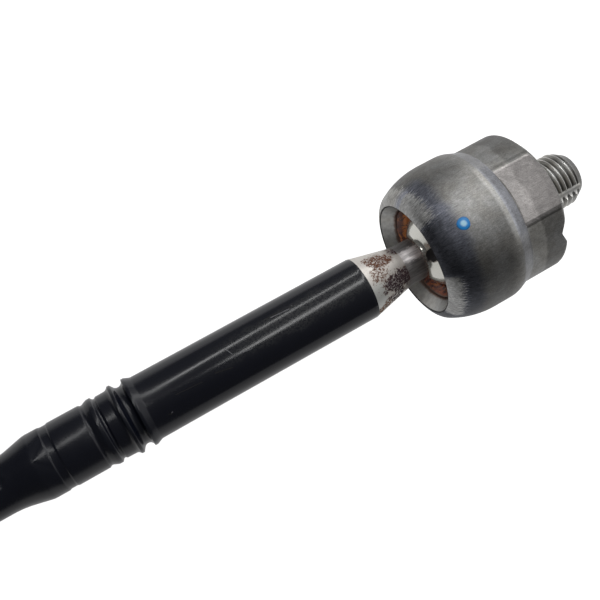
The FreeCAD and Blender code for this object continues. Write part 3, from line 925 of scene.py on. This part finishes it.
def polished_steel():
    """Ball and neck: bright steel, with old rust where the ball meets the grease."""
    g = Graph("polished_steel")
    streak = g.lines(5.0, 1.6, 8.0, 3.0, 0.6)
    mottle = g.noise(g.mm, 1.1, 4.0, 0.65)
    jag = g.noise(g.mm, 0.75, 4.0, 0.70)
    neck = g.step(g.x, 31.6, 33.0)

    # Rust round the ball, wider below, with a drip and a rusty spot whose part near the neck holds
    # a painted shadow between neck and lip
    toward = g.math("DIVIDE", g.minus(g.x, BALL_CENTRE), BALL_RADIUS)
    edge = g.shifted(toward, jag, 0.14)
    below = g.both(g.step(g.turn, -30.0, -44.0), g.step(edge, 0.78, 0.70))
    spot = g.both(g.between(g.shifted(g.turn, jag, 10.0), -28.0, -4.0, 5.0),
                  g.between(g.shifted(g.x, jag, 1.2), 28.2, 31.8, 0.4))
    drip = g.both(g.between(g.shifted(g.turn, jag, 4.0), 24.0, 30.0, 2.0),
                  g.step(g.shifted(g.x, jag, 0.8), 29.6, 29.0))
    smear = g.both(g.most(g.step(edge, 0.64, 0.58), below, spot, drip), g.step(g.x, 32.6, 31.6))
    # Within the spot, near the neck, the near-black colour is a painted shadow between neck and lip
    rust = g.layered(BALL_RUST_DARK, (g.step(mottle, 0.35, 0.65), BALL_RUST_LIGHT),
                     (g.both(spot, g.step(g.x, 29.2, 30.0)), BALL_PAINTED_SHADOW))
    base = g.layered(BALL_DULL, (streak, BALL_BRIGHT), (smear, rust))

    # The neck has a painted highlight on the facing side and painted shade on both sides of it,
    # with a middle level in a band just below it next to the cone.
    turn = g.shifted(g.turn, mottle, 12.0)
    level = g.blend(g.between(turn, -3.0, 28.0, 7.0), 0.46, 1.30)
    level = g.blend(g.both(g.between(turn, -22.0, -10.0, 4.0), g.step(g.x, 35.5, 36.5)),
                    level, 0.75)
    level = g.both(level, g.grained(streak, 0.72, 1.22, 0.15))
    base = g.mix(neck, base, g.scaled(NECK_STEEL, level))
    polish = g.blend(neck, g.blend(streak, 0.12, 0.22), g.blend(streak, 0.26, 0.42))
    metal = g.both(g.blend(neck, 1.0, NECK_METALLIC), g.rest(smear))
    return g.surface(base, metal, g.blend(smear, polish, 0.55), g.bump(streak, 0.03, 0.5))


# Colours of the bare cone
CONE_STEEL_DARK, CONE_STEEL_LIGHT = (0.56, 0.532, 0.498, 1), (0.71, 0.675, 0.635, 1)
CONE_STEEL_LOW = (0.57, 0.575, 0.55, 1)
CONE_STAIN = (0.33, 0.225, 0.16, 1)
CONE_NECK_SHADE = (0.16, 0.145, 0.15, 1)
RED_RUST = (0.100, 0.038, 0.022, 1), (0.180, 0.080, 0.045, 1)
PURPLE_RUST = (0.028, 0.015, 0.020, 1), (0.065, 0.034, 0.038, 1)
ORANGE_RUST = (0.15, 0.062, 0.022, 1), (0.24, 0.11, 0.045, 1)


def bare_cone():
    """Bare turned steel with dense specks of rust in patches, from red brown to purple."""
    g = Graph("bare_cone")
    lathe = g.noise(g.vector("MULTIPLY", g.mm, (5.0, 0.15, 0.15)), 1.0, 2.0, 0.5)
    cloud = g.noise(g.mm, 0.30, 2.0, 0.5)
    ragged = g.noise(g.mm, 0.55, 4.0, 0.65)
    speck = g.shifted(g.noise(g.mm, 1.9, 3.0, 0.60), g.noise(g.mm, 5.6, 2.0, 0.60), 0.42)

    red_patch = g.blot((42.6, 3.9), (32.0, 25.0), ragged)
    gold_patch = g.blot((44.4, 2.8), (2.0, 22.0), ragged)
    dark_patch = g.blot((40.4, 5.4), (-32.0, 27.0), ragged)
    low_patch = g.blot((42.4, 3.6), (-62.0, 22.0), ragged)
    orange_patch = g.blot((46.0, 2.8), (-70.0, 18.0), ragged)
    top_patch = g.blot((37.0, 2.6), (48.0, 20.0), ragged)
    far_side = g.both(g.step(g.math("ABSOLUTE", g.turn), 84.0, 100.0), g.step(cloud, 0.44, 0.58))
    amounts = ((red_patch, 0.98), (gold_patch, 0.62), (dark_patch, 1.08), (low_patch, 0.98),
               (orange_patch, 0.95), (top_patch, 0.95), (far_side, 0.8))
    share = g.most(*(g.both(patch, amount) for patch, amount in amounts))

    # Where the share is high the specks run together; elsewhere a few stay single.
    limit = g.minus(0.74, g.both(share, 0.338))
    rust = g.step(g.minus(speck, limit), -0.010, 0.040)

    dark = g.most(dark_patch, low_patch, top_patch)
    red, purple, orange = (g.mix(ragged, *pair) for pair in (RED_RUST, PURPLE_RUST, ORANGE_RUST))
    low_side = g.both(g.step(g.x, 43.5, 45.5), g.step(g.turn, 0.0, -22.0))
    stain = g.both(g.step(share, 0.2, 0.7), g.step(speck, 0.40, 0.52), 0.55)
    # Painted shade on the cone next to the neck, away from the facing side, as on the neck
    painted_shade_by_neck = g.both(g.step(g.shifted(g.x, ragged, 1.0), 39.6, 37.4),
                       g.rest(g.between(g.turn, -3.0, 28.0, 8.0)), 0.8)
    base = g.layered(CONE_STEEL_DARK, (lathe, CONE_STEEL_LIGHT), (low_side, CONE_STEEL_LOW),
                     (stain, CONE_STAIN), (painted_shade_by_neck, CONE_NECK_SHADE),
                     (rust, g.layered(red, (dark, purple), (orange_patch, orange))))
    rough = g.blend(rust, g.blend(lathe, 0.34, 0.46), 0.80)
    normal = g.bump(g.blend(rust, g.both(lathe, 0.3), speck), 0.05, 0.6)
    return g.surface(base, g.blend(rust, 0.72, 0.08), rough, normal)


# Scratches in the paint: x and angle in degrees of both ends, and half the width
PALE_SCRATCHES = [((83.2, -0.2), (78.8, -3.9), 0.07), ((84.0, 18.5), (83.1, 2.2), 0.05),
                  ((71.4, 27.6), (67.0, 25.3), 0.07), ((100.6, -32.3), (100.9, -33.6), 0.10),
                  ((66.0, 28.5), (65.5, 25.5), 0.05)]
DARK_SCRATCHES = [((88.4, -9.6), (84.6, -15.4), 0.09), ((98.0, -9.4), (92.0, -12.2), 0.07),
                  ((73.0, 29.8), (68.6, 29.2), 0.12), ((66.6, 27.6), (65.3, 26.4), 0.12),
                  ((101.4, -32.0), (100.9, -34.4), 0.14)]

# Colours of the black paint, its dust and its scratches
PAINT_BLACK, PAINT_BLUE_BLACK = (0.0026, 0.0033, 0.0075, 1), (0.0040, 0.0050, 0.0100, 1)
PAINT_DUST = (0.022, 0.023, 0.025, 1)
PALE_SCRATCH, DARK_SCRATCH = (0.11, 0.11, 0.12, 1), (0.0008, 0.0008, 0.0012, 1)


def black_paint():
    """Satin black paint, duller at the beads, with the dust and scratches of the photograph."""
    g = Graph("black_paint")
    wave = g.noise(g.mm, 0.35, 2.0, 0.5)
    fine = g.noise(g.mm, 3.0, 3.0, 0.6)
    grain = g.noise(g.mm, 2.2, 3.0, 0.7)
    pale = g.scratches(PALE_SCRATCHES, SHANK_RADIUS, fine)
    dark = g.scratches(DARK_SCRATCHES, SHANK_RADIUS, fine)
    dusty = g.both(g.between(g.shifted(g.turn, wave, 12.0), -6.0, 26.0, 12.0),
                   g.step(g.x, 98.0, 66.0), g.step(grain, 0.34, 0.60))
    base = g.layered(PAINT_BLACK, (wave, PAINT_BLUE_BLACK), (dusty, PAINT_DUST),
                     (pale, PALE_SCRATCH), (dark, DARK_SCRATCH))
    rough = g.blend(g.both(dusty, 0.4), g.blend(fine, 0.11, 0.17), 0.26)
    rough = g.blend(g.step(g.x, 90.0, 109.0), rough, 0.25)
    rough = g.blend(g.most(pale, dark), rough, 0.6)
    normal = g.bump(g.blend(0.12, wave, grain), 0.02, 0.16)
    return g.surface(base, 0.0, rough, normal, specular=0.35)


def thread_steel():
    """Plain steel of the outer thread, with painted shade in its roots."""
    g = Graph("thread_steel")
    fine = g.noise(g.mm, 2.0, 3.0, 0.6)
    # Painted shade in the thread's roots
    deep = g.step(g.r, 5.95, 5.4)
    base = g.layered((0.3434, 0.34, 0.3366, 1), (fine, (0.4444, 0.44, 0.4356, 1)),
                     (g.both(deep, 0.7), grey(0.12)))
    return g.surface(base, 1.0, g.blend(fine, 0.28, 0.40))


def seat_plastic():
    """Aged natural plastic."""
    g = Graph("seat_plastic")
    fine = g.noise(g.mm, 1.1, 3.0, 0.6)
    base = g.mix(fine, (0.36, 0.30, 0.22, 1), (0.52, 0.47, 0.38, 1))
    return g.surface(base, 0.0, g.blend(fine, 0.35, 0.55))


# Colours of the grease and the marking paint
GREASE_LOWER, GREASE_UPPER = (0.42, 0.10, 0.035, 1), (0.18, 0.045, 0.018, 1)
GREASE_DARK, GREASE_WET = (0.060, 0.016, 0.010, 1), (0.66, 0.21, 0.040, 1)
GREASE_EDGE = (0.095, 0.070, 0.042, 1)
DOT_BLUE, DOT_HIGHLIGHT = (0.004, 0.24, 0.66, 1), (0.44, 0.76, 0.95, 1)
DOT_DARK = (0.006, 0.11, 0.30, 1)


def old_grease():
    """Old grease full of rust: dark red brown, with bright orange streaks along the ring."""
    g = Graph("old_grease")
    along = g.vector("ADD", g.scaled(g.round, 4.0), g.join(g.both(g.x, 0.8), g.both(g.r, 0.9), 0.0))
    streak = g.noise(along, 1.1, 4.0, 0.65, 0.6)
    lump = g.noise(g.mm, 0.75, 4.0, 0.65)
    upper = g.step(g.turn, -10.0, 10.0)
    wet = g.most(g.both(upper, g.step(g.shifted(g.r, streak, 0.6), 11.15, 10.8)),
                 g.both(g.step(streak, 0.56, 0.64), 0.7))
    olive = g.both(g.step(g.r, 11.45, 11.75), g.step(upper, 0.6, 0.4), 0.8)
    base = g.mix(upper, GREASE_LOWER, GREASE_UPPER)
    base = g.layered(GREASE_DARK, (g.step(lump, 0.35, 0.60), base),
                     (g.both(wet, g.step(lump, 0.36, 0.50)), GREASE_WET), (olive, GREASE_EDGE))
    normal = g.bump(g.blend(0.5, lump, streak), 0.12, 0.6)
    return g.surface(base, 0.0, g.blend(lump, 0.26, 0.48), normal)


def marking_paint():
    """Blue marking paint with a painted highlight in the middle of the drop, dark at its edge."""
    g = Graph("marking_paint")
    centre = g.add("VectorMath", {0: g.mm, 1: tuple(DOT_PLACE)}, operation="DISTANCE")
    away = g.shifted(centre.outputs["Value"], g.noise(g.mm, 1.4, 2.0, 0.5), 0.15)
    base = g.layered(DOT_BLUE, (g.step(away, 1.0, 0.4), DOT_HIGHLIGHT),
                     (g.step(away, 1.15, 1.6), DOT_DARK))
    return g.surface(base, 0.0, 0.38)


# Stage, lights and camera

FLOOR_COLOR = grey(0.88)
FLOOR_GLOW_SEEN = 0.62
FLOOR_GLOW_REFLECTED = 0.22
FLOOR_ROOM = 6.0
SWING_LIMIT = math.radians(25.0)
# The floor's corners and the stretch over which it turns white are in metres.
FLOOR_CORNERS = [(-3.0, -3.0), (3.0, -3.0), (3.0, 3.0), (-3.0, 3.0)]
FLOOR_FADE = (0.5, 2.0)


def floor_material():
    """Pale matt floor. Camera and reflections see it lifted to white, shadow kept.

    Far from the part it is white to the camera, so that it has no visible edge.
    """
    material = bpy.data.materials.new("floor")
    g = Nodes(material)
    matt = g.add("BsdfDiffuse", {"Color": FLOOR_COLOR}).outputs[0]
    place = g.add("TexCoord").outputs["Object"]
    away = g.add("VectorMath", {0: place}, operation="LENGTH").outputs["Value"]
    seen = g.ramp(away, *FLOOR_FADE, FLOOR_GLOW_SEEN, 1.0)
    path = g.add("LightPath").outputs
    reflected = g.math("ADD", path["Is Glossy Ray"], path["Is Transmission Ray"])
    glow = g.math("ADD", g.both(path["Is Camera Ray"], seen),
                  g.both(reflected, FLOOR_GLOW_REFLECTED))
    glow = g.add("Emission", {"Strength": glow}).outputs[0]
    shader = g.add("AddShader", {0: matt, 1: glow}).outputs[0]
    g.add("OutputMaterial", {"Surface": shader})
    return material


def make_floor():
    """A floor just below the reach of the rod when it swings down as far as it can."""
    drop = (ROD_HIGH.x - BALL_CENTRE) * math.sin(SWING_LIMIT) + THREAD_RADIUS + FLOOR_ROOM
    mesh = bpy.data.meshes.new("floor")
    mesh.from_pydata([(x, y, -drop * MM) for x, y in FLOOR_CORNERS], [], [(0, 1, 2, 3)])
    mesh.materials.append(floor_material())
    floor = placed("floor", mesh)


# Two long tubes hang side by side over the part. The nearer one ends above the rod.
TUBE_HEIGHT = 600.0
TUBE_ALONG = Vector((0.648, 0.762, 0.0))
TUBE_LENGTH, TUBE_WIDTH = 1200.0, 55.0
TUBE_RADIANCE = 9.5
TUBE_ENDS = {"tube_near": (8.0, -24.0), "tube_far": (250.0, -216.0)}


def make_tube(name, x, y):
    """A strip lamp facing down, from its end above the part back along its length."""
    data = bpy.data.lights.new(name, "AREA")
    data.shape = "RECTANGLE"
    data.size, data.size_y = TUBE_LENGTH * MM, TUBE_WIDTH * MM
    data.energy = TUBE_RADIANCE * math.pi * data.size * data.size_y
    centre = Vector((x, y, TUBE_HEIGHT)) - TUBE_ALONG * TUBE_LENGTH / 2
    up = Vector((0, 0, 1))
    axes = Matrix((TUBE_ALONG, up.cross(TUBE_ALONG), up)).transposed().to_4x4()
    placed(name, data).matrix_world = Matrix.Translation(centre * MM) @ axes


# Brightness of the room by the cosine between a direction and its bright side
ROOM_BRIGHT_SIDE = (-0.902, -0.251, 0.351)
ROOM_LEVELS = [(-1.0, 0.10), (-0.6, 0.10), (0.1, 0.13), (0.22, 0.16), (0.36, 0.22),
               (0.50, 0.30), (0.62, 0.42), (0.76, 0.76), (1.0, 1.15)]


def make_world():
    """White to the camera. To the part, a soft room that is brighter on one side."""
    world = bpy.data.worlds.new("studio")
    bpy.context.scene.world = world
    g = Nodes(world)
    cosine = g.add("VectorMath", {0: g.add("TexCoord").outputs["Generated"], 1: ROOM_BRIGHT_SIDE},
                   operation="DOT_PRODUCT").outputs["Value"]
    share = g.add("MapRange", {"Value": cosine, "From Min": -1.0}).outputs["Result"]
    ramp = g.add("ValToRGB", {"Fac": share})
    stops = ramp.color_ramp.elements
    while len(stops) < len(ROOM_LEVELS):
        stops.new(0.5)
    top = ROOM_LEVELS[-1][1]
    for stop, (cosine, level) in zip(stops, ROOM_LEVELS):
        stop.position = (cosine + 1) / 2
        stop.color = grey(level / top)
    room = g.add("Background", {"Color": ramp.outputs["Color"], "Strength": top})
    white = g.add("Background", {"Color": (1, 1, 1, 1)})
    path = g.add("LightPath").outputs
    seen = g.most(path["Is Camera Ray"], path["Is Transmission Ray"])
    mix = g.add("MixShader", {0: seen, 1: room.outputs[0], 2: white.outputs[0]})
    g.add("OutputWorld", {"Surface": mix.outputs[0]})


# The camera that was fitted to the photograph
CAMERA_PLACE = (105.175, 16.707, 199.765)
CAMERA_TURN = (11.2367, -7.5490, 149.8859)
CAMERA_LENS = 52.59


def make_camera():
    data = bpy.data.cameras.new("camera")
    data.lens, data.sensor_width = CAMERA_LENS, 36.0
    data.clip_start, data.clip_end = 0.01, 20.0
    camera = placed("camera", data)
    camera.location = Vector(CAMERA_PLACE) * MM
    camera.rotation_euler = Euler([math.radians(a) for a in CAMERA_TURN], "XYZ")
    bpy.context.scene.camera = camera


def dress_seat(material):
    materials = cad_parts["ball_seat"].data.materials
    materials.clear()
    materials.append(material)


make_housing(housing_steel())
make_rod([polished_steel(), bare_cone(), black_paint(), thread_steel()])
dress_seat(seat_plastic())
make_grease(old_grease())
make_paint_dot(marking_paint())

make_floor()
for name, end in TUBE_ENDS.items():
    make_tube(name, *end)
make_world()
make_camera()
bpy.context.scene.view_settings.view_transform = "Standard"
